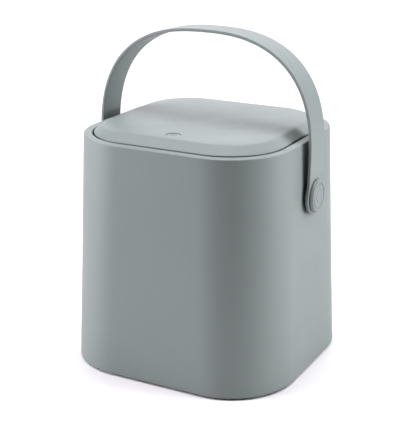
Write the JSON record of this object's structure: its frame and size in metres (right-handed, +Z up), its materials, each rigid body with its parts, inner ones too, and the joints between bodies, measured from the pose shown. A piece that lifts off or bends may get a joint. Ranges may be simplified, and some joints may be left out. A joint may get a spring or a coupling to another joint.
{
  "type": "compost caddy",
  "caption": "Free-standing kitchen compost caddy: tapered rounded-square body, inset hinged lid with push button, lift-out inner bucket and swinging strap handle.",
  "frame": {"origin": "on the floor under the middle of the body", "axes": "+Z up, front (push-button side) towards -Y, handle pivots on the X axis's sides"},
  "size_m": [0.2044, 0.1924, 0.2828],
  "materials": {
    "body_plastic": "fine satin moulded polypropylene, blue-grey",
    "handle_plastic": "satin moulded polypropylene, blue-grey",
    "inner_plastic": "satin moulded polypropylene, darker grey",
    "soft_rubber": "matt elastomer",
    "plated_steel": "zinc plated",
    "slide_plastic": "natural acetal"
  },
  "bodies": {
    "root": {"outer_shell": "body_plastic", "base_plate": "inner_plastic", "base_screws": "plated_steel", "foot_front_left": "soft_rubber", "foot_front_right": "soft_rubber", "foot_rear_left": "soft_rubber", "foot_rear_right": "soft_rubber", "inner_bucket": "inner_plastic", "friction_washer_left": "soft_rubber", "friction_washer_right": "soft_rubber", "pivot_washer_left": "plated_steel", "pivot_washer_right": "plated_steel", "pivot_screw_left": "plated_steel", "pivot_screw_right": "plated_steel", "pivot_button_left": "body_plastic", "pivot_button_right": "body_plastic"},
    "lid": {"lid_cover": "body_plastic", "lid_liner": "inner_plastic", "lid_seal": "soft_rubber", "hinge_pin": "plated_steel", "button_spring": "plated_steel"},
    "button": {"push_button": "body_plastic"},
    "latch": {"latch_slider": "slide_plastic"},
    "handle": {"handle_strap": "handle_plastic", "strap_bush_left": "slide_plastic", "strap_bush_right": "slide_plastic"}
  },
  "joints": [
    {"name": "lid_hinge", "type": "hinge", "parent": "root", "child": "lid", "pos_m": [0, 0.08485, 0.1967], "axis": [-1, 0, 0], "range_deg": [0, 90]},
    {"name": "handle_swing", "type": "hinge", "parent": "root", "child": "handle", "pos_m": [0, 0, 0.1535], "axis": [-1, 0, 0], "range_deg": [-118.8, 115.2]},
    {"name": "button_press", "type": "slide", "parent": "lid", "child": "button", "axis": [0, 0, -1], "range_m": [0, 0.0032], "stiffness_N_per_m": 900, "springref_m": -0.001, "deforming": ["button_spring"]},
    {"name": "latch_slide", "type": "slide", "parent": "lid", "child": "latch", "axis": [0, 1, 0], "range_m": [0, 0.0032]}
  ],
  "couplings": [
    {"joint": "handle_swing", "follows": "lid_hinge", "ratio": 1.28},
    {"joint": "latch_slide", "follows": "button_press", "ratio": 1}
  ]
}
